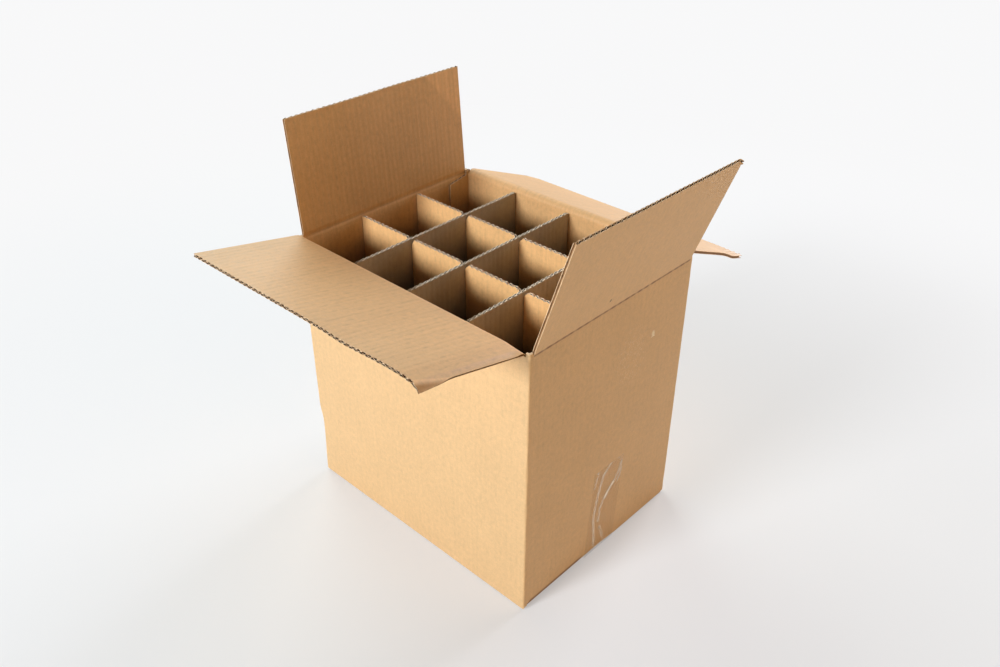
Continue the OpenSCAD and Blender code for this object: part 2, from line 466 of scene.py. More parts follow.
def board_depths(across, thickness, board):
    """Depths through a board at its outer face, sheets and inner face, for places across the flutes."""
    wave = flute_wave(across, board)
    spare = 0.02 * MM
    swing = thickness / 2 - board.liner - board.medium / 2 - spare
    middle = thickness / 2 + swing * wave
    return [
        board.wash_outside * (1 + wave) / 2,
        np.full_like(across, board.liner),
        middle - board.medium / 2,
        middle + board.medium / 2,
        np.full_like(across, thickness - board.liner),
        thickness - board.wash_inside * (1 - wave) / 2,
    ]


def flat_coords(across, along, blank):
    """Places on the flat board, which blank shifts to where the panel lies on it."""
    return np.stack(np.broadcast_arrays(across + blank[0], along + blank[1]), axis=-1)


def add_board(sheet, place, across, along, thickness, board,
              blank=(0.0, 0.0), fluted=True, seed=0, creases_and_painted_light=(0.0, 0.0), rim_painted_light=(0.0, 0.0),
              hollows=(SHADED_HOLLOW, OUTSIDE)):
    """Adds one board: both faces, its two end grooves, its start and its cut end with open flutes.

    place turns arrays of places across the flutes, along them and through the board into points.
    across and along are grids of rows by columns, and the last row is the cut end.
    The rim argument gives the painted shade on the cut rims, and how much it differs between a flute's two
    sides, the paler side being a painted highlight.
    hollows are the finishes in the flutes under the outer and the inner facing sheet; the near-black one is
    painted shade.
    """
    depths = board_depths(across, thickness, board)
    flat = flat_coords(across, along, blank)
    outer = place(across, along, depths[0])
    inner = place(across, along, depths[5])
    sheet.add(outer, flat, OUTSIDE, creases_and_painted_light[0])
    sheet.add(inner, flat + INNER_SHIFT, INSIDE, creases_and_painted_light[1])
    sheet.strip(outer[0], inner[0], flat=flat[0], finish=CUT)
    grooves = add_end_grooves(sheet, place, across, along, thickness, board, blank, seed)
    if fluted:
        add_open_flutes(
            sheet, place, across[-1], along[-1], thickness, board, blank, grooves, rim_painted_light, hollows)
    else:
        sheet.strip(outer[-1], inner[-1], flat=flat[-1], finish=CUT)


def add_end_grooves(sheet, place, across, along, thickness, board, blank, seed):
    """Adds the raw ends beside the flutes, where the facing sheets stand past the fluted one."""
    bottoms = []
    for column, way in ((0, 1), (-1, -1)):
        end = across[:, column]
        up = along[:, column]
        depth = board.edge_groove * (0.85 + 0.15 * waver(up, 2 * seed + column + 1, 9 * MM))
        deep = end + way * np.clip(depth, 0.5 * board.edge_groove, 1.1 * board.edge_groove)
        skin = board_depths(end, thickness, board)
        rims = [place(end, up, level) for level in (skin[0], skin[1], skin[4], skin[5])]
        floor = [place(deep, up, level) for level in (skin[1], skin[4])]
        flat = flat_coords(end, up, blank)
        sheet.strip(rims[0], rims[1], flat=flat, finish=CUT)
        # Painted shade: the floor of the groove between the facing sheets is darkened
        sheet.strip(rims[1], floor[0], floor[1], rims[2], flat=flat, finish=OUTSIDE, crease=0.8)
        sheet.strip(rims[2], rims[3], flat=flat, finish=CUT)
        bottoms.append((floor[0][-1], floor[1][-1]))
    return bottoms


def add_open_flutes(sheet, place, across, along, thickness, board, blank, grooves, rim_painted_light, hollows):
    """Adds a cut end: the rims of the three sheets and the open flutes between them."""
    levels = board_depths(across, thickness, board)
    rims = [place(across, along, level) for level in levels]
    flat = flat_coords(across, along, blank)
    # Painted shade and highlight on the rims, rising and falling with the flutes
    painted_rim_light = rim_painted_light[0] - rim_painted_light[1] * flute_wave(across, board)
    sheet.strip(rims[0], rims[1], flat=flat, finish=CUT, crease=painted_rim_light)
    sheet.strip(rims[4], rims[5], flat=flat, finish=CUT, crease=painted_rim_light)
    first = 1 + int(1.1 * board.edge_groove / abs(across[1] - across[0]))
    kept = slice(first, len(across) - first)
    across, along, flat, painted_rim_light = across[kept], along[kept], flat[kept], painted_rim_light[kept]
    levels = [level[kept] for level in levels]
    rims = [rim[kept] for rim in rims]
    steps = along - board.flute_depth * np.array([0, 0.12, 0.3, 0.6, 1])[:, None]
    sides = [[place(across, step, level) for step in steps] for level in levels]
    sheet.strip(rims[2], rims[3], flat=flat, finish=CUT, crease=painted_rim_light)
    # Painted shade in the open flutes: near black, or the outside paper darkened
    for low, finish in zip((1, 3), hollows):
        pressed_and_painted_shade = 0.0 if finish == SHADED_HOLLOW else 0.35
        sheet.strip(*sides[low], *sides[low + 1][::-1], flat=flat, finish=finish, crease=pressed_and_painted_shade)
    # The caps and lips at the pockets' ends take the near-black painted shade
    for column, groove in ((0, grooves[0]), (-1, grooves[1])):
        for low, high in ((1, 2), (3, 4)):
            cap = np.stack([[line[column] for line in sides[low]], [line[column] for line in sides[high]]])
            sheet.add(cap, flat[column], SHADED_HOLLOW)
        lip = np.stack([groove[0], groove[1], rims[1][column], rims[4][column]])
        sheet.add(lip.reshape(2, 2, 3), flat[column], SHADED_HOLLOW)


def bent_outwards(along, depth, turn, reach):
    """Section of a board that leans out by turn past its fold: inward offset and rise from the fold."""
    radius = reach / math.tan(turn / 2)
    angle = turn * np.clip((along + reach) / (2 * reach), 0, 1)
    before = np.minimum(along + reach, 0)
    after = np.maximum(along - reach, 0)
    inward = (radius + depth) * np.cos(angle) - radius - after * np.sin(angle)
    rise = (radius + depth) * np.sin(angle) - reach + before + after * np.cos(angle)
    return inward, rise


def square_fold(along, depth, thickness):
    """Section of a board folded square inwards: past the fold it runs up, and before it inwards."""
    crisp = 0.6
    angle = math.pi / 2 * np.clip((along + thickness) / (2 * thickness), 0, 1)
    before = np.maximum(-along - thickness, 0)
    after = np.maximum(along - thickness, 0)
    inward = thickness - (thickness - depth) * np.maximum(np.sin(angle), 0) ** crisp + before
    rise = thickness - (thickness - depth) * np.maximum(np.cos(angle), 0) ** crisp + after
    return inward, rise


def wall_bulge(side, across, height, board):
    """Outward bow of a wall, which is nothing at its corners and folds."""
    start, end = PANEL_ENDS[side]
    share = np.clip((across - start) / (end - start), 0, 1)
    up = np.clip(height / fold_height(side), 0, 1)
    return board.wall_bulge * np.sin(math.pi * share) * np.sin(math.pi * up)


def corner_line(end, along_edge, along_end):
    """A line that cuts off the corner of a flap at the end of its free edge."""
    return (end - along_edge, FLAP_LENGTH), (end, FLAP_LENGTH - along_end)


def past_line(across, along, line):
    """Signed distance past a line on a flap, and the line's unit normal."""
    start, end = np.array(line[0]), np.array(line[1])
    way = (end - start) / np.hypot(*(end - start))
    normal = np.array([-way[1], way[0]])
    return (across - start[0]) * normal[0] + (along - start[1]) * normal[1], normal


def bend_past_line(across, along, depth, line, angle, soft):
    """Bends a board towards its outer face past a line."""
    distance, normal = past_line(across, along, line)
    past = np.maximum(distance, 0)
    turned = angle * np.clip(past / soft, 0, 1)
    straight = np.maximum(past - soft, 0)
    run = soft / angle * np.sin(turned) + straight * math.cos(angle)
    drop = soft / angle * (1 - np.cos(turned)) + straight * math.sin(angle)
    shift = run - past + depth * np.sin(turned)
    return across + normal[0] * shift, along + normal[1] * shift, depth * np.cos(turned) - drop


def front_ear(wear):
    """The crease of the front flap's bent corner."""
    return corner_line(FRONT_END_TO, wear.ear_along_edge, wear.ear_along_end)


def front_wear(across, along, depth, board, wear):
    """The front flap's slight twist, the dip in its edge, its crushed near end and its bent corner."""
    crushed_reach = 8 * MM
    dip_place = 66 * MM
    dip_width = 26 * MM
    ear_softness = 2.5 * MM
    share = along / FLAP_LENGTH
    from_end = FRONT_END_TO - across
    depth = depth * (1 - 0.5 * smooth(1 - from_end / crushed_reach))
    depth = depth + wear.front_twist * share * across / FRONT_END_TO
    depth = depth - wear.front_wave * share * bell(across - dip_place, dip_width)
    return bend_past_line(across, along, depth, front_ear(wear), wear.ear_bend, ear_softness)


def right_wear(across, along, depth, board, wear):
    """The right flap's slight twist and its torn corner."""
    nub_bend = math.radians(68)
    nub_softness = 1 * MM
    depth = depth - wear.right_twist * along / FLAP_LENGTH * across / LEFT_END_TO
    nub = corner_line(LEFT_END_TO, 0.8 * wear.corner_nub, wear.corner_nub)
    return bend_past_line(across, along, depth, nub, nub_bend, nub_softness)


def rear_wear(across, along, depth, board, wear):
    """The rear flap's crushed right corner and its bent left corner."""
    crushed_reach = 32 * MM
    droop_place = 98 * MM
    droop_width = 15 * MM
    droop_reach = 45 * MM
    ragged = 1.2 * MM
    ear_bend = math.radians(38)
    ear_softness = 2 * MM
    from_end = across - REAR_END
    near = smooth(1 - np.hypot(from_end, FLAP_LENGTH - along) / crushed_reach)
    depth = depth - wear.rear_crush * near * (1 - flute_wave(across, board)) / 2
    droop = bell(along - droop_place, droop_width) * smooth(1 - from_end / droop_reach)
    depth = depth - 2 * wear.rear_crush * droop
    along = along + ragged * near * waver(across, 7, 5 * MM)
    ear = corner_line(REAR_END_TO, wear.rear_ear, wear.rear_ear)
    return bend_past_line(across, along, depth, ear, ear_bend, ear_softness)


def left_wear(across, along, depth, board, wear):
    """The left flap's faint wave."""
    wave_height = 0.5 * MM
    wave_length = 120 * MM
    wave = wave_height * (along / FLAP_LENGTH) ** 2 * waver(across, 9, wave_length)
    return across, along, depth + wave


FLAP_WEAR = {"front": front_wear, "right": right_wear, "rear": rear_wear, "left": left_wear}


def flap_creases_and_painted_light(side, across, along, wear):
    """How much a flap's outer and inner face are darkened along the fold and paled beside it, with painted
    shade on the front flap's bent corner and a painted sheen on the left flap.
    """
    fold_strength = 1.1 + 0.3 * waver(across, 12, 14 * MM)
    outer = fold_strength * bell(along, 1.2 * MM)
    pale_band = bell(along - 2.6 * MM, 1.6 * MM)
    inner = -0.25 * pale_band
    if side in SHORT_SIDES:
        dark_line = bell(along + 0.6 * MM, 0.9 * MM)
        inner = inner + 0.45 * dark_line
    if side == "front":
        # Painted shade on the front flap's bent corner, and a pale line along its crease
        distance = past_line(across, along, front_ear(wear))[0]
        pale_line = bell(distance - 0.4 * MM, 0.8 * MM)
        painted_ear_shade = smooth((distance - 1.2 * MM) / (2 * MM))
        inner = inner - 0.5 * pale_line + 0.4 * painted_ear_shade
    if side == "left":
        # Painted sheen: a pale triangle in a corner of the left flap's inner face
        sheen_line = ((-64 * MM, FLAP_LENGTH), (-LEFT_END_TO, 60 * MM))
        painted_sheen = smooth(-past_line(across, along, sheen_line)[0] / (4 * MM))
        inner = inner - 0.42 * painted_sheen * (0.8 + 0.3 * waver(across, 13, 9 * MM))
    return outer, inner


def fold_reach(side, board):
    """Board that a top fold bends on each side of its line."""
    return board.short_fold_reach if side in SHORT_SIDES else board.long_fold_reach


def rim_drop(side, across, along, wear):
    """How far a worn rim sits below its fold, fading down the wall and out along the flap."""
    drop = np.full_like(across, wear.rim_sag)
    if side == "rear":
        drop = drop + wear.rear_sag * smooth((across + HALF_LENGTH) / (2 * HALF_LENGTH))
    below = smooth(1 + along / (fold_height(side) - WALL_TOP))
    beyond = 1 - np.clip(along / FLAP_LENGTH, 0, 1)
    drop = drop * np.minimum(below, beyond)
    if side == "front":
        droop_reach = 26 * MM
        drop = drop + wear.near_droop * below * smooth(1 - (FRONT_END_TO - across) / droop_reach)
    return drop


def flap_rows(reach):
    """Places along a flap's board, from the top of its wall, over the fold, to the free edge."""
    near = np.array([1.25, 1.6, 2.1, 2.8]) * reach
    bend = np.linspace(-reach, reach, 13)
    field = np.linspace(13 * MM, 88 * MM, 16)
    outer = np.linspace(90 * MM, FLAP_LENGTH - 4 * MM, 15)
    edge = FLAP_LENGTH - np.array([2.5, 1.4, 0.6, 0]) * MM
    return np.concatenate([-near[2::-1], bend, near, field, outer, edge])


def make_flap(side, board, wear, materials):
    """One top flap with its fold and the top of its wall, bent at the fold to its angle at rest."""
    start, end = PANEL_ENDS[side]
    fold = fold_height(side)
    turn = rest_turn(side)
    reach = fold_reach(side, board)
    ragged_reach = 6 * MM
    worn_reach = 8 * MM
    columns = even_columns(start, end, board.flute_pitch / board.flute_columns)
    rows = np.concatenate([[WALL_TOP - fold], flap_rows(reach)])
    across, along = np.meshgrid(columns, rows)
    rough = board.edge_rough * waver(columns, SIDES[side], ROUGH_LENGTH)
    rough = rough + board.edge_tooth * flute_wave(columns, board)
    along = along + rough * smooth((along - FLAP_LENGTH + ragged_reach) / ragged_reach)

    def place(across, along, depth):
        kept = 1 - board.score_crush * bell(along, board.score_width)
        depth = depth * kept
        drop = rim_drop(side, across, along, wear)
        wear_and_painted_shadow = FLAP_WEAR[side](across, np.maximum(along, 0), depth, board, wear)
        on_flap = smooth((along - reach) / worn_reach)
        across = across + (wear_and_painted_shadow[0] - across) * on_flap
        depth = depth + (wear_and_painted_shadow[2] - depth) * on_flap
        along = along + (wear_and_painted_shadow[1] - along) * on_flap
        inward, rise = bent_outwards(along, depth, turn, reach)
        inward = inward - wall_bulge(side, across, fold + np.minimum(along, 0), board)
        return side_point(side, across, inward, fold + rise - drop)

    sheet = Sheet()
    blank = (BLANK_MIDDLE[side], wall_height(side))
    creases_and_painted_light = flap_creases_and_painted_light(side, across, along, wear)
    rim_painted_light = (0.0, 0.0) if side in SHORT_SIDES else LONG_RIM_PAINTED_SHADE
    hollows = (SHADED_HOLLOW, OUTSIDE if side in SHORT_SIDES else SHADED_HOLLOW)
    add_board(
        sheet, place, across, along, BOARD, board, blank, seed=SIDES[side], creases_and_painted_light=creases_and_painted_light,
        rim_painted_light=rim_painted_light, hollows=hollows)
    piece = sheet.build(f"{side}_flap_board", materials)
    bend = 1.6 * reach
    before = place(np.zeros(1), np.full(1, -bend), np.full(1, BOARD / 2))[0]
    after = place(np.zeros(1), np.full(1, bend), np.full(1, BOARD / 2))[0]
    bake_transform(piece)
    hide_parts(f"{side}_flap")


def foot_drop(side, across, along, wear):
    """How far a wall's foot hangs below its fold: only the right wall's, behind the tape."""
    if side != "right":
        return 0.0
    behind_tape = smooth((across + 4 * MM) / (40 * MM))
    near_foot = smooth(1 - along / (60 * MM))
    return wear.foot_sag * behind_tape * near_foot


def add_wall(sheet, side, board, wear):
    """Adds one wall with its bottom flap, from the seam to just below the top fold."""
    start, end = PANEL_ENDS[side]
    low = low_fold(side)
    spacing = 5 * MM
    columns = even_columns(start, end, spacing)
    floor = np.linspace(-FLAP_LENGTH, -2 * BOARD, 10)
    fold = np.linspace(-BOARD, BOARD, 9)
    wall = np.linspace(2 * BOARD, WALL_TOP - low, 40)
    across, along = np.meshgrid(columns, np.concatenate([floor, fold, wall]))

    def place(across, along, depth):
        inward, rise = square_fold(along, depth, BOARD)
        inward = inward - wall_bulge(side, across, np.maximum(along, 0), board)
        on_wall = smooth((along + 2 * BOARD) / (2 * BOARD))
        rise = rise - on_wall * foot_drop(side, across, along, wear)
        return side_point(side, across, inward, low + rise)

    blank = (BLANK_MIDDLE[side], 0.0)
    # Painted shadow: a dark line along the right wall's foot in front of the tape, where the gap under the
    # wall lies in shade
    wear_and_painted_shadow = 0.0
    if side == "right":
        foot_line = bell(along - 2.2 * MM, 2.4 * MM)
        before_tape = smooth((-22 * MM - across) / (14 * MM))
        wear_and_painted_shadow = 1.2 * foot_line * before_tape
    add_board(sheet, place, across, along, BOARD, board, blank, fluted=False, seed=10, creases_and_painted_light=(wear_and_painted_shadow, 0.0))


# The knock in the front left upright fold: where it begins, how fast it deepens and where it is deepest
KNOCK_TOP = 96 * MM
KNOCK_EASE = 24 * MM
KNOCK_FOOT = 66 * MM


def add_corner(sheet, way_x, way_y, board, wear):
    """Adds the upright fold between two walls, with its dents."""
    bend = np.linspace(-BOARD, BOARD, 9)
    columns = np.concatenate([[-CORNER_LEG, -1.3 * BOARD], bend, [1.3 * BOARD, CORNER_LEG]])
    top = POST_HIGH - np.array([2, 1, 0.5, 0]) * MM
    rows = np.concatenate([np.linspace(POST_LOW, POST_HIGH - 4 * MM, 50), top])
    across, along = np.meshgrid(columns, rows)
    middle = way_x * HALF_LENGTH
    foot_reach = 30 * MM
    pinch_reach = 3 * MM
    dent_share = 1.0 if way_x * way_y < 0 else 0.2

    def place(across, along, depth):
        foot = np.clip(1 - (along - POST_LOW) / foot_reach, 0, 1) * smooth(across / BOARD)
        along = along + (low_fold("right") - POST_LOW) * foot
        pinch = 0.25 * BOARD * smooth((along - POST_HIGH + pinch_reach) / pinch_reach)
        depth = pinch / 2 + depth * (1 - pinch / BOARD)
        inward, rise = square_fold(across, depth, BOARD)
        near = 1 - np.abs(across) / CORNER_LEG
        dent = np.maximum(waver(along, 50 + way_x + 2 * way_y, 45 * MM), 0) * near
        push = wear.edge_dent * np.clip(dent, 0, 1) * dent_share
        if way_x < 0 and way_y < 0:
            knock = smooth((KNOCK_TOP - along) / KNOCK_EASE) * smooth(along / KNOCK_FOOT)
            push = push + wear.left_knock * knock * near
        x = way_x * (HALF_LENGTH - inward - push)
        y = way_y * (HALF_WIDTH - rise - push)
        return np.stack(np.broadcast_arrays(x, y, along), axis=-1)

    creases_and_painted_light = (-0.12 * bell(across, 2 * MM), 0.0)
    add_board(
        sheet, place, across, along, BOARD, board, (middle, 0.0), fluted=False, seed=20, creases_and_painted_light=creases_and_painted_light)


def add_glued_corner(sheet, board):
    """Adds the rear left corner: the left wall's raw end and the tab folded inside it."""
    end = HALF_WIDTH - 1 * MM
    across, along = np.meshgrid(np.linspace(-end, LEFT_END, 4), np.linspace(POST_LOW, POST_HIGH, 30))

    def wall_end(across, along, depth):
        return side_point("left", across, depth, along)

    blank = (BLANK_MIDDLE["left"], 0.0)
    add_board(sheet, wall_end, across, along, BOARD, board, blank, fluted=False, seed=30)
    spacing = board.flute_pitch / board.flute_columns
    columns = np.concatenate([[-BOARD], even_columns(-0.8 * BOARD, BOARD + TAB_WIDTH, spacing)])
    share = np.clip((columns - BOARD) / TAB_WIDTH, 0, 1)
    lift = np.concatenate([np.linspace(0, 0.94, 20), [0.97, 0.985, 1]])
    low = TAB_BOTTOM + TAB_SLOPE * share
    high = np.where(columns < CORNER_LEG, POST_HIGH, TAB_TOP - TAB_SLOPE * share)
    along = low + (high - low) * lift[:, None]
    across = np.broadcast_to(columns, along.shape)

    def tab(across, along, depth):
        inward, rise = square_fold(across, depth, BOARD)
        return np.stack([inward + BOARD - HALF_LENGTH, HALF_WIDTH - rise, along], axis=-1)

    add_board(sheet, tab, across, along, BOARD, board, (BLANK_MIDDLE["rear"] + HALF_LENGTH, 0.0), seed=31)


class BOTTLEBOX_OT_carton(bpy.types.Operator):
    """Make the carton's walls, bottom flaps, upright folds and glued tab"""

    bl_idname = "bottlebox.make_carton"
    bl_label = "Make Carton"

    def execute(self, context):
        board = context.scene.bottlebox_board
        wear = context.scene.bottlebox_wear
        sheet = Sheet()
        for side in SIDES:
            add_wall(sheet, side, board, wear)
        for way_x, way_y in ((1, -1), (-1, -1), (1, 1)):
            add_corner(sheet, way_x, way_y, board, wear)
        add_glued_corner(sheet, board)
        piece = sheet.build("carton_walls", carton_papers(context))
        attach(piece, "carton")
        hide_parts("box_body")
        make_chip(context)
        return {"FINISHED"}


# Middle of the torn chip on the right wall: along the wall and up from the floor
CHIP_PLACE = (62 * MM, 243 * MM)


def make_chip(context):
    """A small lifted tongue of torn facing sheet on the right wall."""
    board = context.scene.bottlebox_board
    wear = context.scene.bottlebox_wear
    paper = 0.25 * MM
    half = 0.5 * wear.chip_height
    share, spread = np.meshgrid(np.linspace(0.04, 1, 9), np.linspace(-1, 1, 7), indexing="ij")
    across = CHIP_PLACE[0] + half * spread * share + 0.15 * half * np.sin(5 * share)
    height = CHIP_PLACE[1] + wear.chip_height * (0.5 - share) - 0.2 * half * spread ** 2
    lift = 0.05 * MM + 0.12 * MM * share ** 2 * (1 - 0.4 * spread ** 2)
    lift = lift + wall_bulge("right", across, height, board)
    outer = side_point("right", across, -lift - paper, height)
    inner = side_point("right", across, -lift, height)
    flat = flat_coords(across, height, (0.0, 0.0))
    sheet = Sheet()
    sheet.add(outer, flat, OUTSIDE)
    sheet.add(inner, flat, OUTSIDE)
    for row in (0, -1):
        sheet.strip(outer[row], inner[row], flat=flat[row], finish=OUTSIDE)
    for column in (0, -1):
        sheet.strip(outer[:, column], inner[:, column], flat=flat[:, column], finish=OUTSIDE)
    pitch = board.flute_pitch
    torn = context.scene.bottlebox_colours.torn
    torn_paper = named_material("torn_paper", lambda name: kraft(name, torn, 0.0, pitch, RAW_ROUGHNESS))
    piece = sheet.build("torn_chip", [torn_paper])
    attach(piece, "carton")


class BOTTLEBOX_OT_flaps(bpy.types.Operator):
    """Make the four top flaps with their folds"""

    bl_idname = "bottlebox.make_flaps"
    bl_label = "Make Top Flaps"

    def execute(self, context):
        scene = context.scene
        for side in SIDES:
            make_flap(side, scene.bottlebox_board, scene.bottlebox_wear, carton_papers(context))
        return {"FINISHED"}


# The divider's strips, with the side from which each is slotted
STRIPS = {
    "cross_strip_left": "below",
    "cross_strip_middle": "below",
    "cross_strip_right": "below",
    "long_strip_front": "above",
    "long_strip_rear": "above",
}


# Rows of faces up the top half of a long strip and of a cross strip, as shares of its height
LONG_ROWS = np.concatenate([np.linspace(0, 0.86, 6), [0.92, 0.96, 0.98, 0.99, 1]])
CROSS_ROWS = np.concatenate([np.linspace(0, 0.9, 6), [0.96, 0.98, 0.99, 1]])


def strip_slots(name):
    """Places of the slots along a strip, at the middles of the strips that cross it."""
    crossing = [other for other in STRIPS if STRIPS[other] != STRIPS[name]]
    axis = 0 if STRIPS[name] == "above" else 1
    return sorted((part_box(other)[0][axis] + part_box(other)[1][axis]) / 2 for other in crossing)


def make_strip(name, board, materials):
    """One divider strip: slots open above in the long strips and below in the cross strips."""
    low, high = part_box(name)
    axis = 0 if STRIPS[name] == "above" else 1
    other = 1 - axis
    thickness = high[other] - low[other]
    mid = (low.z + high.z) / 2
    slot_half = (thickness + 0.6 * MM) / 2
    mouth_width = 5 * MM
    mouth_drop = 6 * MM
    edges = [low[axis]]
    for slot in strip_slots(name):
        edges += [slot - slot_half, slot + slot_half]
    edges.append(high[axis])
    spacing = board.flute_pitch / board.flute_columns
    blank = (low.x + low.y, 0.0)

    def place(across, along, depth):
        points = np.zeros(np.broadcast(across, along, depth).shape + (3,))
        points[..., axis] = across
        points[..., other] = low[other] + depth
        points[..., 2] = along
        return points

    def add_low_half(columns, seed):
        across, along = np.meshgrid(columns, np.linspace(low.z, mid, 4))
        add_board(sheet, place, across, along, thickness, board, blank, fluted=False, seed=seed)

    def add_top_half(columns, drop, rows, seed):
        top = high.z - drop + board.edge_rough * waver(columns, seed - 1, ROUGH_LENGTH)
        top = top + board.edge_tooth * (flute_wave(columns, board) - 1)
        along = mid + (top - mid) * rows[:, None]
        across = np.broadcast_to(columns, along.shape)
        add_board(sheet, place, across, along, thickness, board, blank, seed=seed, rim_painted_light=STRIP_RIM_PAINTED_LIGHT)

    sheet = Sheet()
    whole = even_columns(low[axis], high[axis], spacing)
    pieces = list(zip(edges[0::2], edges[1::2]))
    if STRIPS[name] == "above":
        add_low_half(whole, 40)
        for start, end in pieces:
            columns = even_columns(start, end, spacing)
            from_slot = np.full_like(columns, mouth_width)
            if start > low[axis]:
                from_slot = np.minimum(from_slot, columns - start)
            if end < high[axis]:
                from_slot = np.minimum(from_slot, end - columns)
            drop = mouth_drop * (1 - from_slot / mouth_width) ** 1.6
            add_top_half(columns, drop, LONG_ROWS, 42)
    else:
        for start, end in pieces:
            add_low_half(even_columns(start, end, spacing), 43)
        add_top_half(whole, 0.0, CROSS_ROWS, 45)
    piece = sheet.build(f"{name}_board", materials)
    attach(piece, "carton")
    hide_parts(name)


class BOTTLEBOX_OT_divider(bpy.types.Operator):
    """Make the divider's five slotted strips"""

    bl_idname = "bottlebox.make_divider"
    bl_label = "Make Divider"

    def execute(self, context):
        board = context.scene.bottlebox_board
        for name in STRIPS:
            make_strip(name, board, divider_papers(context, name))
        return {"FINISHED"}


# Ridges in the tape on a short wall: how strong each is, then its points along the wall and up, in mm; the
# strength also sets how pale the film is painted along it, partly whitened creases and partly painted glints
TAPE_RIDGES = (
    (0.60, ((-9, 4), (-14, 50), (-11, 70), (-7, 88), (-2, 103), (9, 111))),
    (0.45, ((-16, 93), (-13, 104), (-11, 111))),
    (0.55, ((-5, 42), (-4, 58), (2, 70))),
    (1.00, ((3, 69), (8, 76), (16, 82))),
    (0.55, ((16, 82), (24, 92), (28, 103))),
    (0.50, ((23, 80), (28, 91), (31, 99))),
    (0.25, ((31, 99), (30, 112))),
    (0.45, ((-2, 31), (3, 19), (7, 4))),
    (0.20, ((9, 111), (20, 113), (29, 104))),
)


def polyline_distance(points, across, up):
    """Distance from places on the tape to a line through points."""
    nearest = np.full(across.shape, np.inf)
    for (x0, y0), (x1, y1) in zip(points[:-1], points[1:]):
        length = (x1 - x0) ** 2 + (y1 - y0) ** 2
        share = np.clip(((across - x0) * (x1 - x0) + (up - y0) * (y1 - y0)) / length, 0, 1)
        to_x = across - x0 - share * (x1 - x0)
        to_y = up - y0 - share * (y1 - y0)
        nearest = np.minimum(nearest, np.hypot(to_x, to_y))
    return nearest


def tape_ridges(across, up):
    """Height of the tape's ridges, from 0 to about 1, and how pale the film is painted along them: whitened
    creases and painted glints.
    """
    ridge_width = 1.6
    white_width = 2.1
    height = np.zeros(across.shape)
    pale_crease_and_painted_glint = np.zeros(across.shape)
    for strength, points in TAPE_RIDGES:
        distance = polyline_distance(points, across / MM, up / MM)
        height = np.maximum(height, strength * bell(distance, ridge_width))
        pale_crease_and_painted_glint = np.maximum(pale_crease_and_painted_glint, strength ** 1.2 * bell(distance, white_width))
    return height, np.clip(pale_crease_and_painted_glint * (0.95 + 0.2 * waver(up, 61, 11 * MM)), 0, 1)


def make_tape(context):
    """The clear tape under the bottom seam, turned up both short walls, with its ridges."""
    board = context.scene.bottlebox_board
    wear = context.scene.bottlebox_wear
    low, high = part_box("seam_tape")
    film = 0.08 * MM
    glue_gap = 0.02 * MM
    ridge = 0.06 * MM
    turn = 1 * MM
    on_wall = np.linspace(high.z, turn, 190)
    angle = np.linspace(0, math.pi / 2, 6)[1:]
    under = np.linspace(2 * turn, HALF_LENGTH, 20)
    inward = np.concatenate([np.zeros_like(on_wall), turn * (1 - np.cos(angle)), under])
    height = np.concatenate([on_wall, turn * (1 - np.sin(angle)), np.zeros_like(under)])
    upright = np.concatenate([np.ones_like(on_wall), np.cos(angle), np.zeros_like(under)])
    columns = np.linspace(low.y, high.y, 81)
    sheet = Sheet()
    for side, way in (("right", 1), ("left", -1)):
        across, up = np.meshgrid(columns, height)
        across = across + wear.tape_skew * smooth(up / high.z)
        inside, standing = np.broadcast_arrays(inward[:, None], upright[:, None])
        rise, pale_crease_and_painted_glint = tape_ridges(across, up)
        edge = smooth((high.y - np.abs(columns)) / (3 * MM))
        rise = ridge * rise * standing * edge
        bulge = wall_bulge(side, across, up, board) * standing
        inner_up = up + film * (1 - standing)
        inner = side_point(side, way * across, inside - bulge - glue_gap * standing, inner_up)
        outer = side_point(side, way * across, inside - bulge - (film + rise) * standing, up)
        flat = flat_coords(across, up + inside, (0.0, 0.0))
        pale_crease_and_painted_glint = pale_crease_and_painted_glint * standing * smooth((up - 2 * MM) / (8 * MM))
        sheet.add(outer, flat, OUTSIDE, pale_crease_and_painted_glint)
        sheet.add(inner, flat, OUTSIDE)
        sheet.strip(outer[0], inner[0], flat=flat[0], finish=OUTSIDE)
        for column in (0, -1):
            sheet.strip(outer[:, column], inner[:, column], flat=flat[:, column], finish=OUTSIDE)
    film_colour = context.scene.bottlebox_colours.film
    tape_film = named_material("tape_film", lambda name: clear_film(name, film_colour))
    piece = sheet.build("bottom_tape", [tape_film])
    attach(piece, "carton")
    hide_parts("seam_tape")


class BOTTLEBOX_OT_tape(bpy.types.Operator):
    """Make the clear tape along the bottom seam"""

    bl_idname = "bottlebox.make_tape"
    bl_label = "Make Tape"

    def execute(self, context):
        make_tape(context)
        return {"FINISHED"}


def new_material(name):
    """An empty node material and its tree."""
    material = bpy.data.materials.new(name)
    material.use_nodes = True
    material.node_tree.nodes.clear()
    return material, material.node_tree


def add_node(tree, kind, inputs=(), **settings):
    """Adds a node with settings, and sets or links its inputs by name or number."""
    node = tree.nodes.new(kind)
    for key, value in settings.items():
        setattr(node, key, value)
    for key, value in dict(inputs).items():
        if isinstance(value, bpy.types.NodeSocket):
            tree.links.new(value, node.inputs[key])
        else:
            node.inputs[key].default_value = value
    return node


def math_node(tree, operation, *values):
    """Output of a math node."""
    return add_node(tree, "ShaderNodeMath", enumerate(values), operation=operation).outputs[0]


def vector_node(tree, operation, *values):
    """A vector math node."""
    return add_node(tree, "ShaderNodeVectorMath", enumerate(values), operation=operation)


def eased(tree, value, start, end):
    """Output that eases from 0 at start to 1 at end."""
    inputs = {"Value": value, "From Min": start, "From Max": end}
    return add_node(tree, "ShaderNodeMapRange", inputs, interpolation_type="SMOOTHSTEP").outputs[0]


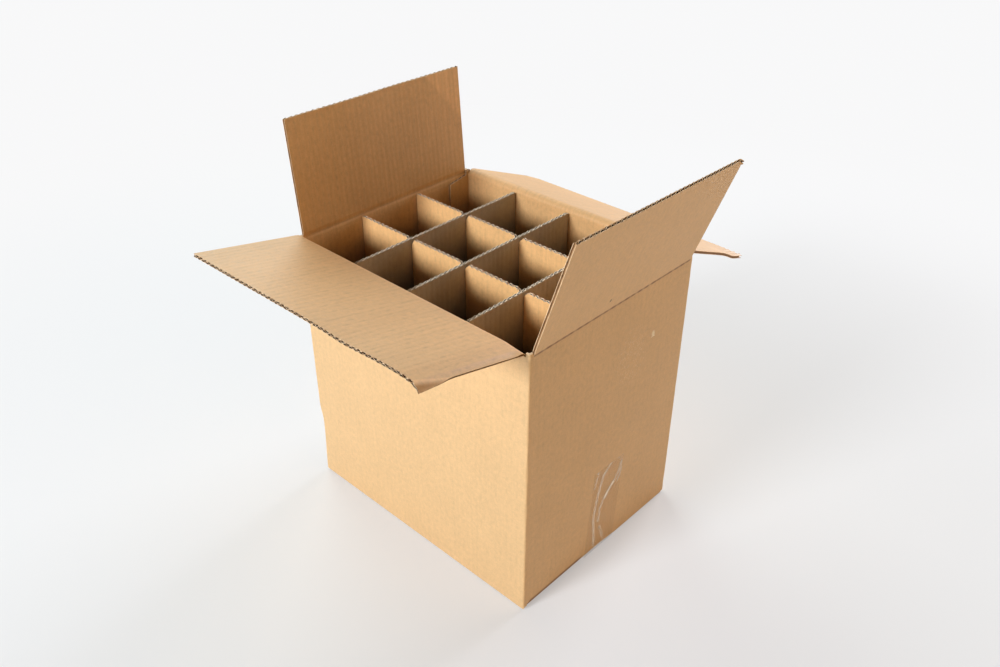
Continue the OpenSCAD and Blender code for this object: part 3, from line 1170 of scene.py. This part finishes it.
def mix_colours(tree, factor, first, second, blend="MIX"):
    """Colour output of a mix of two colours."""
    inputs = {0: factor, 6: first, 7: second}
    return add_node(tree, "ShaderNodeMix", data_type="RGBA", blend_type=blend, inputs=inputs).outputs[2]


def board_noise(tree, coords, scale, detail=2.0, stretch=(1, 1, 1)):
    """Noise of one scale on the board's own coordinates, from about -0.5 to 0.5."""
    scaled = add_node(tree, "ShaderNodeMapping", {"Vector": coords, "Scale": stretch}).outputs[0]
    noise = add_node(tree, "ShaderNodeTexNoise", {"Vector": scaled, "Scale": scale, "Detail": detail})
    return math_node(tree, "SUBTRACT", noise.outputs["Fac"], 0.5)


def tint(colour, factor=1.0):
    """A colour with its alpha, scaled."""
    return tuple(channel * factor for channel in colour) + (1.0,)


def soft_mark(tree, coords, centre, radii):
    """A soft oval on the board, 1 in its middle and 0 outside."""
    offset = vector_node(tree, "SUBTRACT", coords, (centre[0], centre[1], 0)).outputs[0]
    scaled = vector_node(tree, "DIVIDE", offset, (radii[0], radii[1], 1)).outputs[0]
    distance = vector_node(tree, "LENGTH", scaled).outputs["Value"]
    return eased(tree, distance, 1.0, 0.35)


def flute_lines(tree, coords, pitch):
    """Broken dark lines over the flutes, from 0 to 1."""
    across = add_node(tree, "ShaderNodeSeparateXYZ", {0: coords}).outputs[0]
    wave = math_node(tree, "SINE", math_node(tree, "MULTIPLY", across, 2 * math.pi / pitch))
    lined = math_node(tree, "POWER", math_node(tree, "MULTIPLY_ADD", wave, 0.5, 0.5), 2.5)
    breaks = board_noise(tree, coords, 130, 3.0, (1.2, 1, 1))
    return math_node(tree, "MULTIPLY", lined, eased(tree, breaks, -0.05, 0.14))


def kraft(name, colour, stripes, pitch, roughness=0.55, marks=(), cell_painted_shade=0.0):
    """Kraft paper: mottled pulp, fibres, flecks, pressed creases, painted shade and highlights, marks and
    faint lines over the flutes.

    The darkening low in the cells is painted shade: how much the colour is darkened there, where hardly any
    light comes.
    """
    material, tree = new_material(name)
    coords = add_node(tree, "ShaderNodeUVMap", uv_map="flat_board").outputs[0]
    clouds = board_noise(tree, coords, 22, 3.0)
    blotches = board_noise(tree, coords, 210, 3.0)
    grain = board_noise(tree, coords, 700, 2.0)
    fibres = board_noise(tree, coords, 300, 3.0, (3.2, 0.45, 1))
    streaks = board_noise(tree, coords, 320, 2.0, (1, 0.04, 1))
    dashes = flute_lines(tree, coords, pitch)
    crease = add_node(tree, "ShaderNodeAttribute", attribute_name="crease").outputs["Fac"]
    tone = math_node(tree, "MULTIPLY_ADD", clouds, 0.12, 1.0)
    patterns = ((blotches, 0.28), (grain, 0.24), (fibres, 0.16), (streaks, 0.03 + 1.6 * stripes))
    for pattern, strength in patterns:
        tone = math_node(tree, "MULTIPLY_ADD", pattern, strength, tone)
    tone = math_node(tree, "MULTIPLY_ADD", dashes, -stripes, tone)
    # Negative crease values pale the paper: pale bands beside folds, and painted highlights and sheen
    tone = math_node(tree, "MULTIPLY_ADD", math_node(tree, "MINIMUM", crease, 0.0), -0.45, tone)
    # Painted shade: the colour darkens from the top height down to the bottom one in the cells
    if cell_painted_shade:
        height = add_node(tree, "ShaderNodeSeparateXYZ", {0: coords}).outputs[1]
        low = eased(tree, height, PAINTED_SHADE_START, PAINTED_SHADE_END)
        tone = math_node(tree, "MULTIPLY", tone, math_node(tree, "MULTIPLY_ADD", low, -cell_painted_shade, 1.0))
    paint = mix_colours(tree, 1.0, tint(colour), tone, "MULTIPLY")
    # Positive crease values darken towards a pressed brown: pressed creases, and painted shade in grooves,
    # flutes, rims, the bent corner and the right wall's foot
    pressed_and_painted_shade = tuple(0.5 * channel ** 2 for channel in colour)
    paint = mix_colours(tree, eased(tree, crease, 0.0, 1.25), paint, tint(pressed_and_painted_shade))
    for mark_colour, strength, centre, radii, flecked in marks:
        shape = soft_mark(tree, coords, centre, radii)
        if flecked:
            flecks = board_noise(tree, coords, 480, 1.0, (1.6, 0.8, 1))
            shape = math_node(tree, "MULTIPLY", shape, eased(tree, flecks, 0.1, 0.17))
        paint = mix_colours(tree, math_node(tree, "MULTIPLY", shape, strength), paint, tint(mark_colour))
    height = math_node(tree, "MULTIPLY_ADD", fibres, 0.6, math_node(tree, "MULTIPLY", grain, 0.6))
    height = math_node(tree, "MULTIPLY_ADD", dashes, -3.0 * stripes, height)
    bump = add_node(tree, "ShaderNodeBump", {"Height": height, "Strength": 0.35, "Distance": 0.0002})
    rough = math_node(tree, "MULTIPLY_ADD", blotches, 0.2, roughness)
    shader = add_node(tree, "ShaderNodeBsdfPrincipled", {
        "Base Color": paint, "Roughness": rough, "Normal": bump.outputs[0]})
    add_node(tree, "ShaderNodeOutputMaterial", {"Surface": shader.outputs[0]})
    return material


def clear_film(name, colour):
    """Clear glossy tape: it deepens the board's colour and is painted pale along its ridges, partly whitened
    creases and partly painted glints.
    """
    material, tree = new_material(name)
    coords = add_node(tree, "ShaderNodeUVMap", uv_map="flat_board").outputs[0]
    pale_crease_and_painted_glint = add_node(tree, "ShaderNodeAttribute", attribute_name="crease").outputs["Fac"]
    ripples = board_noise(tree, coords, 60, 2.0, (1, 0.3, 1))
    paint = mix_colours(tree, eased(tree, pale_crease_and_painted_glint, 0.0, 0.2), tint(colour), (1.0, 0.95, 0.86, 1))
    cover = math_node(tree, "MULTIPLY_ADD", pale_crease_and_painted_glint, 0.9, 0.05)
    bump = add_node(tree, "ShaderNodeBump", {"Height": ripples, "Strength": 0.25, "Distance": 0.0006})
    shader = add_node(tree, "ShaderNodeBsdfPrincipled", {
        "Base Color": paint, "Roughness": 0.16, "Alpha": cover, "Normal": bump.outputs[0]})
    add_node(tree, "ShaderNodeOutputMaterial", {"Surface": shader.outputs[0]})
    return material


def named_material(name, make):
    """A material by name, made once."""
    return bpy.data.materials.get(name) or make(name)


def outside_marks(colours):
    """Marks on the carton's outside: colour, strength, place on the blank, size and whether flecked."""
    right = BLANK_MIDDLE["right"]
    lift = -low_fold("right")
    spot = (right - 18.8 * MM, wall_height("right") + 13.7 * MM)
    chip = (right + CHIP_PLACE[0], CHIP_PLACE[1] + lift)
    scuff = (right + 28 * MM, 232 * MM + lift)
    brown = tuple(0.3 * channel for channel in colours.outside)
    return (
        (brown, 1.0, spot, (1.8 * MM, 2.8 * MM), False),
        (colours.torn, 1.0, chip, (3.4 * MM, 4.6 * MM), False),
        (colours.torn, 0.25, scuff, (34 * MM, 48 * MM), True),
    )


def carton_papers(context):
    """Finishes of the carton's board: outside, inside, cut rims and flutes."""
    colours = context.scene.bottlebox_colours
    pitch = context.scene.bottlebox_board.flute_pitch
    marks = outside_marks(colours)
    outside = named_material("carton_outside", lambda name: kraft(
        name, colours.outside, OUTSIDE_LINES, pitch, marks=marks))
    inside = named_material("carton_inside", lambda name: kraft(
        name, colours.inside, INSIDE_LINES, pitch, cell_painted_shade=INSIDE_PAINTED_SHADE))
    return [outside, inside, *cut_papers("carton_rims", colours.carton_rims, colours.hollow, pitch)]


def divider_papers(context, name):
    """Finishes of a divider strip's board, with painted light in the long strips' colour and painted shade
    and sheen in the cross strips'.
    """
    colours = context.scene.bottlebox_colours
    pitch = context.scene.bottlebox_board.flute_pitch
    kind = "long" if STRIPS[name] == "above" else "cross"
    colour = getattr(colours, f"{kind}_strip")
    face = named_material(f"divider_{kind}", lambda name: kraft(
        name, colour, DIVIDER_LINES, pitch, cell_painted_shade=DIVIDER_PAINTED_SHADE))
    return [face, face, *cut_papers("divider_rims", colours.divider_rims, colours.hollow, pitch)]


def cut_papers(rims, rim_colour, hollow_painted_shade_colour, pitch):
    """Finishes of the raw rims and the open flutes, whose insides are painted near black as shade."""
    return [
        named_material(rims, lambda name: kraft(name, rim_colour, 0.0, pitch, RAW_ROUGHNESS)),
        named_material("flute_hollows", lambda name: kraft(
            name, hollow_painted_shade_colour, 0.0, pitch, HOLLOW_ROUGHNESS)),
    ]


class BOTTLEBOX_OT_stage(bpy.types.Operator):
    """Make the floor, the lamps and the camera"""

    bl_idname = "bottlebox.make_stage"
    bl_label = "Make Stage"

    def execute(self, context):
        stage = context.scene.bottlebox_stage
        make_floor(stage)
        make_lamps(context, stage)
        make_camera(context, stage)
        context.scene.view_settings.view_transform = "Standard"
        return {"FINISHED"}


# Where the floor begins and ends to fade to the backdrop, and the backdrop's share and level at the box
FADE_START = 0.35
FADE_END = 1.30
NEAR_SHARE = 0.42
NEAR_LEVEL = 0.92


def pale_share(tree):
    """1 for the rays that show the pale backdrop: those seen directly, in gloss or through the film."""
    path = add_node(tree, "ShaderNodeLightPath").outputs
    seen = math_node(tree, "MAXIMUM", path["Is Camera Ray"], path["Is Glossy Ray"])
    return math_node(tree, "MAXIMUM", seen, path["Is Transmission Ray"])


def make_floor(stage):
    """A wide pale floor that fades to the backdrop's colour behind the box."""
    size = 12.0
    gap = 0.2 * MM
    mesh = bpy.data.meshes.new("floor")
    corners = [(-size, -size, 0), (size, -size, 0), (size, size, 0), (-size, size, 0)]
    mesh.from_pydata(corners, [], [(0, 1, 2, 3)])
    floor = bpy.data.objects.new("floor", mesh)
    floor.location.z = -gap
    bpy.context.scene.collection.objects.link(floor)
    material, tree = new_material("floor_paper")
    paper = add_node(tree, "ShaderNodeBsdfPrincipled", {
        "Base Color": tint(stage.floor_colour), "Roughness": 0.9})
    place = add_node(tree, "ShaderNodeNewGeometry").outputs["Position"]
    away = vector_node(tree, "LENGTH", place).outputs["Value"]
    fade = eased(tree, away, FADE_START, FADE_END)
    level = math_node(tree, "MULTIPLY_ADD", fade, 1 - NEAR_LEVEL, NEAR_LEVEL)
    glow = add_node(tree, "ShaderNodeEmission", {"Color": tint(stage.backdrop_colour), "Strength": level})
    share = math_node(tree, "MULTIPLY_ADD", fade, 1 - NEAR_SHARE, NEAR_SHARE)
    share = math_node(tree, "MULTIPLY", share, pale_share(tree))
    surface = add_node(tree, "ShaderNodeMixShader", {0: share, 1: paper.outputs[0], 2: glow.outputs[0]})
    add_node(tree, "ShaderNodeOutputMaterial", {"Surface": surface.outputs[0]})
    mesh.materials.append(material)


# Each lamp's turn from the front to the right, height angle, distance and size
LAMP_PLACES = {
    "key": (-8, 21, 3.0, 0.9),
    "back": (180, 20, 3.2, 1.8),
    "sheen": (-114, 32, 2.4, 1.6),
    "side": (90, 15, 2.6, 1.6),
}
LAMP_TARGET = (0.0, 0.0, 0.18)


def view_way(azimuth, elevation):
    """Unit direction with a turn from the front to the right and an angle above the floor."""
    flat = math.cos(elevation)
    return Vector((math.sin(azimuth) * flat, -math.cos(azimuth) * flat, math.sin(elevation)))


def make_lamps(context, stage):
    """Soft round lamps at the front, behind, at the left and at the right, and the pale world."""
    for name, (azimuth, elevation, distance, size) in LAMP_PLACES.items():
        lamp = bpy.data.lights.new(f"{name}_lamp", "AREA")
        lamp.shape = "DISK"
        lamp.size = size
        lamp.energy = getattr(stage, f"{name}_power")
        lamp.color = getattr(stage, f"{name}_colour")
        holder = bpy.data.objects.new(f"{name}_lamp", lamp)
        way = view_way(math.radians(azimuth), math.radians(elevation))
        holder.location = Vector(LAMP_TARGET) + distance * way
        holder.rotation_euler = way.to_track_quat("Z", "Y").to_euler()
        holder.visible_camera = False
        context.scene.collection.objects.link(holder)
    world = bpy.data.worlds.new("room")
    world.use_nodes = True
    tree = world.node_tree
    tree.nodes.clear()
    pale = add_node(tree, "ShaderNodeBackground", {
        "Color": tint(stage.backdrop_colour), "Strength": pale_share(tree)})
    add_node(tree, "ShaderNodeOutputWorld", {"Surface": pale.outputs[0]})
    context.scene.world = world


def make_camera(context, stage):
    """The camera at the photograph's viewing angle."""
    back = view_way(stage.camera_azimuth, stage.camera_elevation)
    camera = bpy.data.objects.new("camera", bpy.data.cameras.new("camera"))
    camera.data.sensor_width = 36
    camera.data.lens = stage.camera_lens
    camera.data.clip_start = 0.05
    camera.data.clip_end = 50
    turn = back.to_track_quat("Z", "Y") @ Matrix.Rotation(stage.camera_roll, 4, "Z").to_quaternion()
    camera.rotation_mode = "QUATERNION"
    camera.rotation_quaternion = turn
    camera.location = Vector(stage.camera_target) + back * stage.camera_distance
    context.scene.collection.objects.link(camera)
    context.scene.camera = camera


class BOTTLEBOX_PT_panel(bpy.types.Panel):
    """Sidebar panel with the box's settings and makers"""

    bl_label = "Bottle Shipping Box"
    bl_idname = "BOTTLEBOX_PT_panel"
    bl_space_type = "VIEW_3D"
    bl_region_type = "UI"
    bl_category = "Bottle Box"

    def draw(self, context):
        for name, group in SETTINGS.items():
            column = self.layout.column(align=True)
            column.label(text=group.__doc__)
            for key in group.__annotations__:
                column.prop(getattr(context.scene, name), key)
        for maker in MAKERS:
            self.layout.operator(maker.bl_idname)


SETTINGS = {
    "bottlebox_board": BoardSettings,
    "bottlebox_wear": WearSettings,
    "bottlebox_colours": ColourSettings,
    "bottlebox_stage": StageSettings,
}
MAKERS = (
    BOTTLEBOX_OT_carton, BOTTLEBOX_OT_flaps, BOTTLEBOX_OT_divider, BOTTLEBOX_OT_tape, BOTTLEBOX_OT_stage,
)
CLASSES = (*SETTINGS.values(), *MAKERS, BOTTLEBOX_PT_panel)


def register():
    """Registers the classes and hangs the settings on the scene."""
    for cls in CLASSES:
        bpy.utils.register_class(cls)
    for name, group in SETTINGS.items():
        setattr(bpy.types.Scene, name, PointerProperty(type=group))


def unregister():
    """Takes the settings and classes away again."""
    for name in SETTINGS:
        delattr(bpy.types.Scene, name)
    for cls in reversed(CLASSES):
        bpy.utils.unregister_class(cls)


def main():
    """Makes the whole box and its stage."""
    register()
    bpy.ops.bottlebox.make_carton()
    bpy.ops.bottlebox.make_flaps()
    bpy.ops.bottlebox.make_divider()
    bpy.ops.bottlebox.make_tape()
    bpy.ops.bottlebox.make_stage()


if __name__ == "__main__":
    main()
